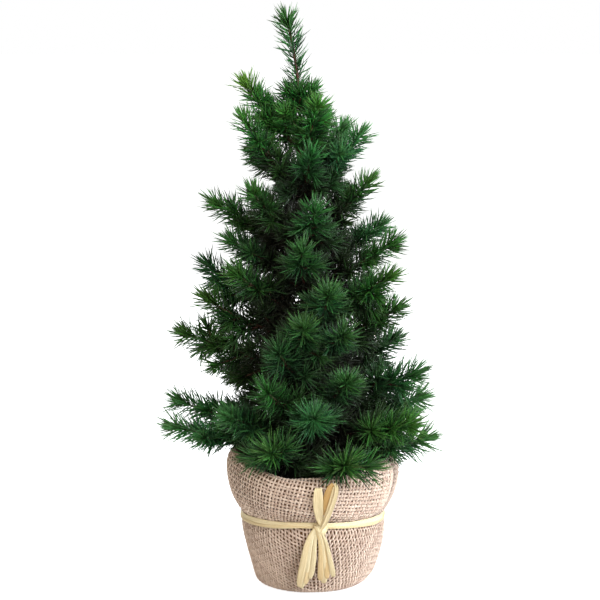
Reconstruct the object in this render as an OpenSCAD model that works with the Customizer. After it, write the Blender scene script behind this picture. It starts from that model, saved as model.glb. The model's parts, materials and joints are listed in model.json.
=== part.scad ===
// Tabletop tree: wire branches with moulded needles on a taped trunk, cast into a pot wrapped in burlap.
// Millimetres, +Z up. Origin on the ground under the middle of the pot. The raffia bow faces -Y.
// Azimuths run counter-clockwise seen from above, from 0 at +X.

/* [Trunk] */
// Overall height, ground to top needle
tree_h = 450; // [440:1:460]
// Height at which the leader leaves the trunk
leader_h = 372; // [370:1:380]
// Lean of the trunk towards -X, degrees
trunk_lean = 1.8; // [0:0.1:3]
// Radius of the steel rod inside the trunk
rod_r = 2.5; // [2:0.1:2.6]
// Outside radius of the taped trunk at the pot
tape_foot_r = 4.6; // [4.2:0.1:5]
// Outside radius of the taped trunk at the leader
tape_top_r = 3.4; // [3.2:0.1:4]

/* [Branches] */
// Radius of a branch wire with its wrapping
stem_r = 1; // [0.8:0.1:1]
// Distance from the trunk's axis to the point where a branch wire bends
bend_reach = 6.5; // [6.3:0.1:7]
// Bare stem between the bend and the first needles
bare_l = 13; // [10:1:15]
// Reach of the solid core of the needle whorls
whorl_r = 4.2; // [3:0.1:4.4]
// Distance from one whorl to the next
whorl_pitch = 6; // [5:0.5:8]
// Where a side sprig leaves its branch, as a share of the length
sprig_at = 0.45; // [0.4:0.01:0.5]
// Length of a side sprig as a share of its branch
sprig_share = 0.5; // [0.4:0.01:0.55]
// Angle of a side sprig from its branch, degrees
sprig_angle = 38; // [34:1:42]

/* [Pot] */
// Height of the pot
pot_h = 81; // [76:1:84]
// Outside radius of the pot's foot
pot_foot_r = 37.5; // [34:0.5:38]
// Outside radius of the pot's mouth
pot_top_r = 59; // [56:0.5:59]
// Thickness of the pot's wall
pot_wall = 2; // [1.5:0.1:2.2]
// Level of the cement cast into the pot
cement_top = 62; // [40:1:66]

/* [Burlap] */
// Thickness of the cloth as it lies in soft folds
cloth_t = 1.6; // [1:0.1:1.6]
// Radius of the cloth at its widest, near the rim
puff_r = 66; // [64:0.5:68]
// Height of the widest place
puff_h = 90; // [88:1:92]
// Height of the rolled rim above the widest place
roll_h = 10; // [8:1:12]
// Radius of the cloth where the raffia ties it
waist_r = 55; // [54.5:0.5:56]
// Height of the raffia tie
waist_h = 56; // [54:1:58]
// Radius of the cloth above its bottom corner
foot_r = 41; // [40:0.5:42]

/* [Raffia] */
// Width of the raffia strip
raffia_w = 6.5; // [5:0.5:7]
// Thickness of the raffia strip
raffia_t = 1; // [0.6:0.1:1.2]
// Azimuth of the knot
knot_az = 279; // [260:1:290]
// Radius of the knot
knot_r = 4.6; // [4:0.1:6]

/* [Hidden] */
$fn = 48;
gap = 0.1;              // between pieces that touch
turn_gap = 0.05;        // between a knuckle and its socket
knuckle_r = 1.4;
knuckle_w = 2.4;
stub_r = 1.2;
lean_h = 90;            // the trunk's axis crosses the Z axis at this height
disc_t = 1.5;
disc_r = 34;
pot_z = disc_t + gap + cloth_t + gap;
groove_h = raffia_w + 0.6;
corner_h = 5;           // height of the cloth's rounded bottom corner
pot_bevel = 2;          // at the edge of the pot's foot
lip_low = 78;           // the cloth is tucked this far down into the pot
roll_w = 6.5;           // half the width of the rolled rim
tail_gap = 0.6;         // between the tails where they cross under the knot
rod_foot = 10;
rod_top = leader_h - 12;
tape_foot = cement_top + gap + tape_foot_r * sin(trunk_lean);
tape_end = leader_h - 6;
tape_below = 8;         // a tier's tape starts this far below its first wire
clear_side = 311;       // azimuth that no wire leaves at
leader_bend_l = 30;     // the leader's lower part, which stands almost straight
leader_lean = [3, 13];  // lean of the leader's lower and upper part, degrees

// Branch wires are bound to the trunk one after another, in tiers.
// A tier is [height of its first wire, distance between its wires, rows].
// A row is [azimuth, length to the last needle, rise above level, side sprigs]. Side sprigs: 0 none,
// 1 on the side of larger azimuths, -1 on the other side, 2 on both sides.
TIERS = [
    [92, 3, [
        [290, 80, 14, 0], [75, 95, 12, 2], [247, 84, 17, 0], [125, 95, 10, 2],
        [352, 89, 11, 0], [30, 95, 12, 1], [186, 108, 9, 0], [330, 89, 17, -1]]],
    [118, 3, [
        [272, 96, 20, 0], [225, 90, 16, 0], [170, 107, 10, 0], [10, 88, 12, 0], [246, 89, 26, 0],
        [95, 88, 16, 2], [293, 85, 28, 0], [350, 87, 20, 0], [50, 80, 18, 1]]],
    [150, 4.5, [
        [145, 80, 12, 0], [252, 90, 30, 0], [20, 76, 24, 0], [180, 99, 18, 0],
        [291, 87, 31, 0], [267, 92, 29, 0], [110, 82, 20, 2]]],
    [184, 4.5, [
        [340, 81, 25, 0], [70, 76, 24, 0], [192, 86, 24, 0], [282, 87, 31, 0],
        [40, 74, 28, 0], [328, 86, 31, 0], [220, 81, 31, 0], [165, 87, 25, 0]]],
    [224, 5.5, [
        [266, 79, 38, 0], [350, 81, 32, 0], [125, 76, 28, 1],
        [192, 68, 31, 1], [12, 72, 32, 0], [80, 70, 32, -1]]],
    [258, 6, [
        [278, 73, 37, 0], [170, 79, 27, 0], [222, 64, 35, 0], [348, 68, 36, 0], [110, 60, 40, 0]]],
    [300, 6, [
        [277, 62, 43, 0], [332, 71, 44, -1], [205, 71, 48, 0], [35, 56, 50, 0]]],
    [338, 7, [
        [295, 50, 60, 0], [182, 59, 46, 0]]],
];

BRANCHES = [for (tier = TIERS) for (k = [0 : len(tier[2]) - 1]) concat([tier[0] + k * tier[1]], tier[2][k])];

function branch_name(i) = str("branch_", i < 9 ? "0" : "", i + 1);

// Point on the trunk's axis at a height
function trunk_at(h) = [-(h - lean_h) * tan(trunk_lean), 0, h];

// Radius of the pot's outside at a height
function pot_r(z) = pot_foot_r + (pot_top_r - pot_foot_r) * (z - pot_z) / pot_h;

// A number between a and b
function mix(a, b, t) = a + (b - a) * t;

// Section of the burlap from the middle of its floor to its tucked lip, moved inwards by t
function cloth_path(t) = concat(
    [[0, disc_t + gap + t]],
    [for (a = [-90 : 15 : 0]) [foot_r - corner_h + (corner_h - t) * cos(a),
                               disc_t + gap + corner_h + (corner_h - t) * sin(a)]],
    [[waist_r - t, waist_h - groove_h / 2], [waist_r - t, waist_h + groove_h / 2]],
    [for (u = [0.15 : 0.15 : 0.9]) [mix(waist_r, puff_r, sin(90 * u)) - t,
                                    mix(waist_h + groove_h / 2, puff_h, u)]],
    [for (a = [0 : 15 : 180]) [puff_r - roll_w + (roll_w - t) * cos(a), puff_h + (roll_h - t) * sin(a)]],
    [[puff_r - 2 * roll_w + t, lip_low]]);

// Half section of a needle brush from its first to its last needle: whorls that open towards the tip
function brush_section(l) = let (n = floor(l / whorl_pitch), p = l / n) concat(
    [[0, 0], [stem_r, 0]],
    [for (k = [0 : n - 1]) each [
        [mix(stem_r, whorl_r, 0.9 * pow(sin(180 * (k + 0.9) / (n + 1)), 0.5)), (k + 0.8) * p],
        [mix(stem_r, whorl_r, 0.3 * sin(180 * (k + 1) / (n + 1))), (k + 1) * p]]],
    [[0, l]]);

// Puts a branch in place: its own +X runs along its stem from the bend, its own Y is the bend's axis
module at_branch(b) {
    translate(trunk_at(b[0]) + bend_reach * [cos(b[1]), sin(b[1]), 0])
        rotate([0, 0, b[1]])
            rotate([0, -b[3], 0])
                children();
}

// Bare stem with a needle brush after it, along +X
module twig(bare, l) {
    rotate([0, 90, 0]) {
        cylinder(r = stem_r, h = bare + gap);
        translate([0, 0, bare])
            rotate_extrude()
                polygon(brush_section(l - bare));
    }
}

// Round knuckle on the bend's axis
module knuckle() {
    rotate([90, 0, 0])
        cylinder(r = knuckle_r, h = knuckle_w, center = true);
}

// Space that a knuckle turns in
module socket() {
    rotate([90, 0, 0])
        cylinder(r = knuckle_r + turn_gap, h = 2 * knuckle_w, center = true);
}

module branch(i) {
    b = BRANCHES[i];
    sides = b[4] == 2 ? [-1, 1] : b[4] == 0 ? [] : [b[4]];
    color(i % 2 == 0 ? "darkgreen" : "forestgreen")
        at_branch(b) {
            knuckle();
            twig(bare_l, b[2]);
            for (side = sides)
                translate([b[2] * sprig_at, 0, 0])
                    rotate([0, 0, side * sprig_angle])
                        twig(4, b[2] * sprig_share);
        }
}

module leader() {
    lower = leader_lean[0];
    upper = leader_lean[1];
    foot = trunk_at(leader_h);
    upper_l = (tree_h - leader_h - leader_bend_l * cos(lower)) / cos(upper);
    color("forestgreen")
        translate(foot) {
            knuckle();
            rotate([0, -90 - lower, 0])
                twig(8, leader_bend_l + 3);
            translate(leader_bend_l * [-sin(lower), 0, cos(lower)])
                rotate([0, -90 - upper, 0])
                    twig(0, upper_l);
        }
}

module trunk_rod() {
    color("lightsteelblue")
        translate(trunk_at(rod_foot))
            rotate([0, -trunk_lean, 0])
                cylinder(r = rod_r, h = rod_top - rod_foot);
}

// Hole for the rod, wider than it by the gap
module rod_hole(from, to) {
    translate(trunk_at(from))
        rotate([0, -trunk_lean, 0])
            cylinder(r = rod_r + gap, h = to - from);
}

// Radius of the tape where a tier's wires leave it: it thins as fewer wires run below it
function tape_r(tier) = mix(tape_foot_r, tape_top_r, tier / len(TIERS));

// One length of tape, from one height to the next
module tape_length(from, to, r) {
    translate(trunk_at(from))
        rotate([0, -trunk_lean, clear_side])
            cylinder(r1 = r, r2 = r - 0.08, h = to - from + gap);
}

// Brown tape around the rod, with the fixed end of each branch wire standing out of it
module trunk_wrap() {
    starts = concat([tape_foot], [for (k = [1 : len(TIERS) - 1]) TIERS[k][0] - tape_below], [tape_end]);
    color("saddlebrown")
        difference() {
            union() {
                for (k = [0 : len(TIERS) - 1])
                    tape_length(starts[k], starts[k + 1], tape_r(k));
                for (b = BRANCHES)
                    at_branch(b)
                        rotate([0, -90, 0])
                            cylinder(r = stub_r, h = bend_reach / cos(b[3]));
                translate(trunk_at(tape_end - 1))
                    cylinder(r = stub_r, h = leader_h - tape_end + 1);
            }
            rod_hole(rod_foot, rod_top + gap);
            for (b = BRANCHES)
                at_branch(b)
                    socket();
            translate(trunk_at(leader_h))
                socket();
        }
}

module pot() {
    z_in = pot_z + pot_wall;
    z_top = pot_z + pot_h;
    color("dimgray")
        rotate_extrude()
            polygon([[0, pot_z], [pot_foot_r - pot_bevel, pot_z], [pot_r(pot_z + pot_bevel), pot_z + pot_bevel],
                     [pot_top_r, z_top], [pot_top_r - pot_wall, z_top], [pot_r(z_in) - pot_wall, z_in],
                     [0, z_in]]);
}

module cement_weight() {
    z_in = pot_z + pot_wall + gap;
    r_off = pot_wall + gap;
    color("gainsboro")
        difference() {
            rotate_extrude()
                polygon([[0, z_in], [pot_r(z_in) - r_off, z_in], [pot_r(cement_top) - r_off, cement_top],
                         [0, cement_top]]);
            rod_hole(rod_foot - gap, cement_top + 5);
        }
}

module burlap_wrap() {
    color("burlywood")
        rotate_extrude()
            polygon(concat(cloth_path(0), [for (k = [len(cloth_path(0)) - 1 : -1 : 0]) cloth_path(cloth_t)[k]]));
}

module base_disc() {
    color("tan")
        cylinder(r = disc_r, h = disc_t);
}

module raffia_band() {
    color("khaki")
        rotate_extrude()
            translate([waist_r + gap, waist_h - raffia_w / 2])
                square([raffia_t, raffia_w]);
}

// Puts a raffia piece at the knot: its own +X points away from the pot, its own +Y to the right
module at_knot(out) {
    rotate([0, 0, knot_az])
        translate([waist_r + raffia_t + 2 * gap + out, 0, waist_h])
            children();
}

// Outline of a bow loop seen from its edge, l long
module loop_outline(l, r) {
    translate([0, r])
        circle(r);
    translate([0, l - r])
        circle(r);
    translate([-r, r])
        square([2 * r, l - 2 * r]);
}

// Loop of raffia strip standing up from the knot, tipped sideways by side and outwards by out, degrees
module bow_loop(l, side, out) {
    loop_r = 3;
    rotate([-side, 0, 0])
        rotate([0, out, 0])
            rotate([90, 0, 0])
                linear_extrude(height = raffia_w, center = true)
                    difference() {
                        loop_outline(l, loop_r);
                        translate([0, raffia_t])
                            loop_outline(l - 2 * raffia_t, loop_r - raffia_t);
                    }
}

module raffia_bow() {
    knot_t = 6;
    color("wheat")
        at_knot(0) {
            rotate([0, 90, 0])
                rotate_extrude()
                    polygon(concat([[0, 0]],
                        [for (a = [-60 : 20 : 60]) [knot_r * cos(a), knot_t / 2 * (1 + sin(a) / sin(60))]],
                        [[0, knot_t]]));
            translate([knot_t - 1.5, 0, 0]) {
                bow_loop(30, -19, 22);
                bow_loop(36, 19, 22);
            }
        }
}

// Strip of raffia hanging from the knot, l long, split into strands at its end
module tail(l, w_top, w_end, side, out) {
    strands = 3;
    split_l = 0.35 * l;
    lean_in = 17;
    ends = [for (k = [0 : 2 * strands]) [
        w_end * (k / (2 * strands) - 0.5),
        k % 2 == 0 ? -l + split_l * (k == 0 || k == 2 * strands ? 0.25 : 1) : -l + 3 * abs(k - strands)]];
    color("moccasin")
        at_knot(out)
            rotate([side, 0, 0])
                rotate([0, lean_in, 0])
                    translate([0, 0, -knot_r - 1])
                        rotate([90, 0, 90])
                            linear_extrude(height = raffia_t)
                                polygon(concat([[w_top / 2, 0], [-w_top / 2, 0]], ends));
}

module raffia_tail_left() {
    tail(45, 5, 11, -17, 1);
}

module raffia_tail_right() {
    tail(40, 5, 12, 15, 1 + raffia_t + tail_gap);
}

base_disc();
burlap_wrap();
pot();
cement_weight();
trunk_rod();
trunk_wrap();
raffia_band();
raffia_bow();
raffia_tail_left();
raffia_tail_right();
leader();
for (i = [0 : len(BRANCHES) - 1]) {
    branch(i);
}
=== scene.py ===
"""Looks of the tabletop tree: needles, bark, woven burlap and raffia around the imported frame. Metres."""
import json
import math

import bpy
import numpy as np
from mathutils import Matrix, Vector
from numpy.random import default_rng


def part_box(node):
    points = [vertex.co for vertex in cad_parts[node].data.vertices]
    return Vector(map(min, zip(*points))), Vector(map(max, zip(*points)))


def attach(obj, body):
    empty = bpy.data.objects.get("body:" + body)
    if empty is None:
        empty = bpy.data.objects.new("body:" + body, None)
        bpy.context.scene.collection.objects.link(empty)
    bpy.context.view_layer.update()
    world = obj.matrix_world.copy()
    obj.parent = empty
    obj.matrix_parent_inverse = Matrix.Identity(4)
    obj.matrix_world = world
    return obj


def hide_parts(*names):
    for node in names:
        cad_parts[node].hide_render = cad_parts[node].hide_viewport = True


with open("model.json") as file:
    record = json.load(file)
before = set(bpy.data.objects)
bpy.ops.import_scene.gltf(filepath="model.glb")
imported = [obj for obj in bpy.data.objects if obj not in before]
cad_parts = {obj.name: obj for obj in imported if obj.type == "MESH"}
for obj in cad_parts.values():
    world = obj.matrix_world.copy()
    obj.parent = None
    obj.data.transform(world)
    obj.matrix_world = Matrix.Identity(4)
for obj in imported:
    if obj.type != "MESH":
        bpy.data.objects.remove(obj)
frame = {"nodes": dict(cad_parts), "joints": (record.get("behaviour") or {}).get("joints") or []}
SCENE = bpy.context.scene
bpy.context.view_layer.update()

MM = 0.001
UP = np.array([0.0, 0.0, 1.0])
FULL_TURN = 2 * math.pi
GOLDEN_ANGLE = math.pi * (3 - math.sqrt(5))


# ---- small tools

def unit(v):
    """Vectors scaled to length one, along the last axis."""
    v = np.asarray(v, float)
    return v / np.maximum(np.linalg.norm(v, axis=-1, keepdims=True), 1e-12)


def srgb(r, g, b):
    """Linear colour from 0-255 display values."""
    c = np.array([r, g, b]) / 255
    return np.where(c <= 0.04045, c / 12.92, ((c + 0.055) / 1.055) ** 2.4)


def angle_from(azimuth, angle):
    """Signed angle from an azimuth, the short way round."""
    return ((angle - azimuth + math.pi) % FULL_TURN) - math.pi


def hill(distance, width):
    """1 at no distance, falling away smoothly over the width."""
    return np.exp(-(distance / width) ** 2)


def ripples(rng, x, waves):
    """Sum of sine waves over x, each from a random start: waves are (frequency, height)."""
    return sum(height * np.sin(frequency * x + rng.uniform(0, FULL_TURN)) for frequency, height in waves)


def wobble(rng, x, waves=((1.0, 1.0), (2.3, 0.5), (4.1, 0.3))):
    """Smooth random curve over x, about -1 to 1."""
    return ripples(rng, x, waves) / sum(height for _, height in waves)


def run_along(path):
    """Distance of each point from the first, along the path."""
    return np.concatenate([[0], np.cumsum(np.linalg.norm(np.diff(path, axis=0), axis=1))])


def grid_faces(rows, cols):
    """Quads of a tube of points: rings of cols points, row after row."""
    c = np.arange(cols)
    r = np.arange(rows - 1)[:, None]
    nxt = (c + 1) % cols
    quads = np.stack([r * cols + c, r * cols + nxt, (r + 1) * cols + nxt, (r + 1) * cols + c], -1)
    return quads.reshape(-1, 4)


def make_object(name, points, faces, material, values=None):
    """Mesh object from points in metres and faces, with values per point for its material."""
    mesh = bpy.data.meshes.new(name)
    if isinstance(faces, list):
        mesh.from_pydata(points.tolist(), [], faces)
    else:
        mesh.vertices.add(len(points))
        mesh.vertices.foreach_set("co", np.asarray(points, np.float32).ravel())
        mesh.loops.add(faces.size)
        mesh.loops.foreach_set("vertex_index", faces.ravel())
        mesh.polygons.add(len(faces))
        mesh.polygons.foreach_set("loop_start", np.arange(len(faces)) * faces.shape[1])
        mesh.update(calc_edges=True)
    mesh.polygons.foreach_set("use_smooth", [True] * len(mesh.polygons))
    for key, data in (values or {}).items():
        data = np.asarray(data, np.float32)
        if data.ndim == 1:
            mesh.attributes.new(key, "FLOAT", "POINT").data.foreach_set("value", data)
        else:
            rgba = np.concatenate([data, np.ones((len(data), 1), np.float32)], 1)
            mesh.attributes.new(key, "FLOAT_COLOR", "POINT").data.foreach_set("color", rgba.ravel())
    mesh.materials.append(material)
    mesh.update()
    obj = bpy.data.objects.new(name, mesh)
    SCENE.collection.objects.link(obj)
    return obj


def join(name, parts, material):
    """One mesh object from parts: each is points, faces as an array or a list, and values per point."""
    faces, offset = [], 0
    for points, part_faces, _ in parts:
        if isinstance(part_faces, list):
            faces += [[i + offset for i in face] for face in part_faces]
        else:
            faces.append(part_faces + offset)
        offset += len(points)
    faces = faces if isinstance(faces[0], list) else np.concatenate(faces)
    values = {key: np.concatenate([part[2][key] for part in parts]) for key in parts[0][2]}
    return make_object(name, np.concatenate([part[0] for part in parts]), faces, material, values)


def place(obj, body, slot, *nodes):
    """Rides obj on a body and hides the CAD nodes that it stands for; slot is not used."""
    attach(obj, body)
    if nodes:
        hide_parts(*nodes)


def circle(sides):
    """Cosines and sines around a ring of points."""
    a = np.arange(sides) * FULL_TURN / sides
    return np.cos(a)[None, :, None], np.sin(a)[None, :, None]


def closed_tube(path, radii, sides):
    """Round tube along a path with a small point at each end, as points and faces; radii is per point."""
    tangent = unit(np.gradient(path, axis=0))
    side = unit(UP - (UP * tangent).sum(-1, keepdims=True) * tangent)
    other = np.cross(tangent, side)
    cos, sin = circle(sides)
    ring = path[:, None] + (cos * side[:, None] + sin * other[:, None]) * radii[:, None, None]
    points = np.concatenate([ring.reshape(-1, 3), [path[0]], [path[-1]]])
    n = len(path) * sides
    first = [(n, (k + 1) % sides, k) for k in range(sides)]
    last = [(n + 1, n - sides + k, n - sides + (k + 1) % sides) for k in range(sides)]
    return points, grid_faces(len(path), sides).tolist() + first + last


def bezier(p0, p1, p2, count):
    """Points on a curve from p0 to p2 that heads for p1 first."""
    t = np.linspace(0, 1, count)[:, None]
    return (1 - t) ** 2 * p0 + 2 * t * (1 - t) * p1 + t ** 2 * p2


# ---- materials

class Nodes:
    """Short way to write a node material."""

    def __init__(self, name):
        self.material = bpy.data.materials.new(name)
        self.material.use_nodes = True
        self.tree = self.material.node_tree
        self.bsdf = self.tree.nodes["Principled BSDF"]

    def add(self, kind, **settings):
        node = self.tree.nodes.new(kind)
        for key, value in settings.items():
            if key in node.inputs:
                node.inputs[key].default_value = value
            else:
                setattr(node, key, value)
        return node

    def link(self, source, target):
        self.tree.links.new(source, target)

    def attribute(self, name, output="Fac"):
        return self.add("ShaderNodeAttribute", attribute_name=name).outputs[output]

    def noise(self, scale, detail=4.0, stretch=(1, 1, 1), source=None):
        """Noise over the object's own coordinates, or over a given vector."""
        if source is None:
            source = self.add("ShaderNodeTexCoord").outputs["Object"]
        mapping = self.add("ShaderNodeMapping", Scale=stretch)
        self.link(source, mapping.inputs["Vector"])
        node = self.add("ShaderNodeTexNoise", Scale=scale, Detail=detail)
        self.link(mapping.outputs["Vector"], node.inputs["Vector"])
        return node.outputs["Fac"]

    def ramp(self, source, *stops):
        """Colour ramp: stops are (position, linear colour)."""
        node = self.add("ShaderNodeValToRGB")
        elements = node.color_ramp.elements
        while len(elements) < len(stops):
            elements.new(0.5)
        for element, (position, colour) in zip(elements, stops):
            element.position = position
            element.color = (*colour, 1)
        self.link(source, node.inputs["Fac"])
        return node.outputs["Color"]

    def toned(self, colour, source, *stops):
        """A colour multiplied by a colour ramp."""
        tones = self.ramp(source, *stops)
        node = self.add("ShaderNodeMix", data_type="RGBA", blend_type="MULTIPLY")
        node.inputs[0].default_value = 1.0
        self.link(colour, node.inputs[6])
        self.link(tones, node.inputs[7])
        return node.outputs[2]

    def spread(self, source, low, high):
        """A 0-1 value spread to low-high."""
        node = self.add("ShaderNodeMapRange", **{"To Min": low, "To Max": high})
        self.link(source, node.inputs["Value"])
        return node.outputs["Result"]

    def finish(self, colour, roughness, bump=None, depth=0.0, **settings):
        """Joins colour, roughness and bump to the surface; settings are further surface inputs."""
        self.link(colour, self.bsdf.inputs["Base Color"])
        self.link(roughness, self.bsdf.inputs["Roughness"])
        if bump is not None:
            node = self.add("ShaderNodeBump", Strength=0.6, Distance=depth)
            self.link(bump, node.inputs["Height"])
            self.link(node.outputs["Normal"], self.bsdf.inputs["Normal"])
        for key, value in settings.items():
            self.bsdf.inputs[key.replace("_", " ")].default_value = value
        return self.material


def needle_material():
    """Moulded plastic needles: a tint per needle, mottled, half glossy."""
    n = Nodes("needle_plastic")
    tint = n.attribute("tint", "Color")
    colour = n.toned(tint, n.noise(260.0, 3.0), (0.3, (0.72, 0.74, 0.72)), (0.7, (1.15, 1.12, 1.1)))
    return n.finish(colour, n.spread(n.noise(900.0), 0.36, 0.56), n.noise(2500.0, 2.0), 0.0001,
                    Specular_IOR_Level=0.33)


def bark_material():
    """Rough bark of the twigs, speckled over its tint."""
    n = Nodes("branch_bark")
    tint = n.attribute("tint", "Color")
    grain = n.noise(900.0, 6.0)
    colour = n.toned(tint, grain, (0.3, (0.5, 0.48, 0.46)), (0.72, (1.5, 1.35, 1.2)))
    return n.finish(colour, n.spread(grain, 0.6, 0.85), n.noise(1800.0, 5.0), 0.0003)


def tape_material():
    """Brown paper tape around the trunk, crinkled along it."""
    n = Nodes("trunk_tape")
    crinkle = n.noise(500.0, 6.0, (1, 1, 3))
    colour = n.ramp(crinkle, (0.3, srgb(38, 26, 15)), (0.6, srgb(74, 52, 30)), (0.8, srgb(98, 72, 44)))
    return n.finish(colour, n.spread(crinkle, 0.55, 0.8), n.noise(1400.0, 4.0), 0.0003)


def yarn_material():
    """Jute yarn: faded patches and fine fibres over a tint per yarn."""
    n = Nodes("burlap_yarn")
    tint = n.attribute("tint", "Color")
    patch = n.noise(38.0, 3.0)
    fibre = n.noise(1500.0, 6.0)
    faded = n.toned(tint, patch, (0.3, (0.9, 0.88, 0.87)), (0.7, (1.07, 1.06, 1.06)))
    colour = n.toned(faded, fibre, (0.28, (0.68, 0.62, 0.58)), (0.66, (1.1, 1.09, 1.08)))
    return n.finish(colour, n.spread(fibre, 0.82, 1.0), fibre, 0.0004, Specular_IOR_Level=0.2,
                    Sheen_Weight=0.25, Sheen_Roughness=0.6)


def raffia_material():
    """Raffia strip: streaks and fine lines that run along it."""
    n = Nodes("raffia_strip")
    tint = n.attribute("tint", "Color")
    lay = n.add("ShaderNodeCombineXYZ")
    n.link(n.attribute("across"), lay.inputs["X"])
    n.link(n.attribute("along"), lay.inputs["Y"])
    streak = n.noise(1.0, 5.0, (14, 0.035, 1), lay.outputs["Vector"])
    fine = n.noise(1.0, 4.0, (45, 0.12, 1), lay.outputs["Vector"])
    striped = n.toned(tint, streak, (0.28, (0.62, 0.52, 0.36)), (0.52, (0.94, 0.90, 0.82)),
                      (0.75, (1.1, 1.1, 1.1)))
    colour = n.toned(striped, fine, (0.3, (0.86, 0.82, 0.74)), (0.65, (1.04, 1.04, 1.03)))
    return n.finish(colour, n.spread(fine, 0.42, 0.68), fine, 0.0004, Specular_IOR_Level=0.4)


def speckled_material(name, scale, dark, light, rough, depth):
    """Plain moulded, cast or felted stuff: two tones mixed by noise, with fine bump."""
    n = Nodes(name)
    fleck = n.noise(scale, 6.0)
    colour = n.ramp(fleck, (0.32, dark), (0.7, light))
    return n.finish(colour, n.spread(n.noise(scale * 1.7), *rough), n.noise(scale * 4, 5.0), depth)


def steel_material():
    """Drawn steel of the trunk rod."""
    n = Nodes("rod_steel")
    brushed = n.noise(60.0, 6.0, (30, 30, 1))
    colour = n.ramp(brushed, (0.3, srgb(120, 122, 126)), (0.7, srgb(178, 180, 184)))
    return n.finish(colour, n.spread(brushed, 0.28, 0.45), brushed, 0.0001, Metallic=1.0)


NEEDLE = needle_material()
BARK = bark_material()
TAPE = tape_material()
YARN = yarn_material()
RAFFIA = raffia_material()


# ---- foliage

DARK_GREEN = srgb(18, 50, 25)
MID_GREEN = srgb(42, 115, 46)
BLUE_GREEN = srgb(40, 98, 64)
YELLOW_GREEN = srgb(112, 158, 48)
PAINTED_SHADE_BROWN = srgb(29, 30, 22)  # painted shade deep in the crown, near the trunk
BROWN_BARK = srgb(60, 38, 26)
RED_BARK = srgb(88, 46, 33)
GREEN_BARK = srgb(46, 62, 28)

NEEDLE_WIDTH = 1.05 * MM
NEEDLE_FLAT = 0.55  # thickness as a share of the width
NEEDLE_RINGS = np.array([0.0, 0.34, 0.74, 1.0])
NEEDLE_TAPER = np.array([0.6, 1.0, 0.78, 0.07])
NEEDLE_SIDES = 4
NEEDLES_PER_MM = 3.3
LEADER_NEEDLES_PER_MM = 3.5
TIP_NEEDLES = 60  # tuft at the end of a branch
TWIG_TIP_NEEDLES = 30
TWIG_NEEDLES = 0.88  # length of a side twig's needles as a share of the branch's
TUFT_LENGTH = 9 * MM  # part of the stem that the tuft grows from
STEEP_LENGTH = 12 * MM  # part of the stem where needles start to lean forwards
OVERREACH = 0.5  # how far behind the solid's tip the stem ends, in needle lengths
TWIG_OVERREACH = 0.6
BARE_SHARE = 0.72  # the inner part of a shoot has lost some of its needles,
BARE_LOSS = 0.22  # this share of them
BARK_SIDES = 8
BARK_RADII = (1.5, 0.7)  # at a branch's root and tip, mm
TWIG_THINNER = 0.75
TWIG_YOUNG = 0.35  # the ends of side twigs are never brighter than this

TRUNK_LEAN = 0.0314  # sideways shift of the trunk per unit of height
TRUNK_FOOT = 0.09  # height where the shift is nothing
LOW_BRANCHES = 0.116  # branches hinged below this height stay clear of the pot
RIM_RADII = (50 * MM, 67.5 * MM)  # the burlap's rolled rim stands between these

# Side twigs of a branch: place along it, side, and length as a share of its reach
TWIGS = ((0.07, -1, 0.32), (0.11, 1, 0.32), (0.16, 1, 0.34), (0.22, -1, 0.4), (0.3, 1, 0.4),
         (0.39, -1, 0.36), (0.48, 1, 0.33), (0.57, -1, 0.29), (0.66, 1, 0.25), (0.74, -1, 0.22))


def needle_length(height):
    """Needles are longest on the lowest branches. Height and length in metres."""
    return np.interp(height, (0.10, 0.38), (20.5, 17.0)) * MM


def needle_mesh(base, start, end, length, width, rng):
    """Closed tapered needles: each leaves base along start and bends towards end."""
    s = NEEDLE_RINGS[None, :, None]
    way = start[:, None] * s + (end - start)[:, None] * s ** 2 / 2
    centre = base[:, None] + length[:, None, None] * way
    heading = unit(start[:, None] + (end - start)[:, None] * s)
    roll = unit(rng.normal(size=base.shape))
    side = unit(np.cross(heading, roll[:, None]))
    other = np.cross(heading, side)
    w = (width[:, None] * NEEDLE_TAPER)[:, :, None] / 2
    ring = np.stack([centre + side * w, centre + other * w * NEEDLE_FLAT,
                     centre - side * w, centre - other * w * NEEDLE_FLAT], 2)
    last = (len(NEEDLE_RINGS) - 1) * NEEDLE_SIDES
    caps = np.array([[3, 2, 1, 0], [last, last + 1, last + 2, last + 3]])
    one = np.concatenate([grid_faces(len(NEEDLE_RINGS), NEEDLE_SIDES), caps])
    faces = one[None] + (np.arange(len(base)) * (last + NEEDLE_SIDES))[:, None, None]
    return ring.reshape(-1, 3), faces.reshape(-1, 4)


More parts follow.
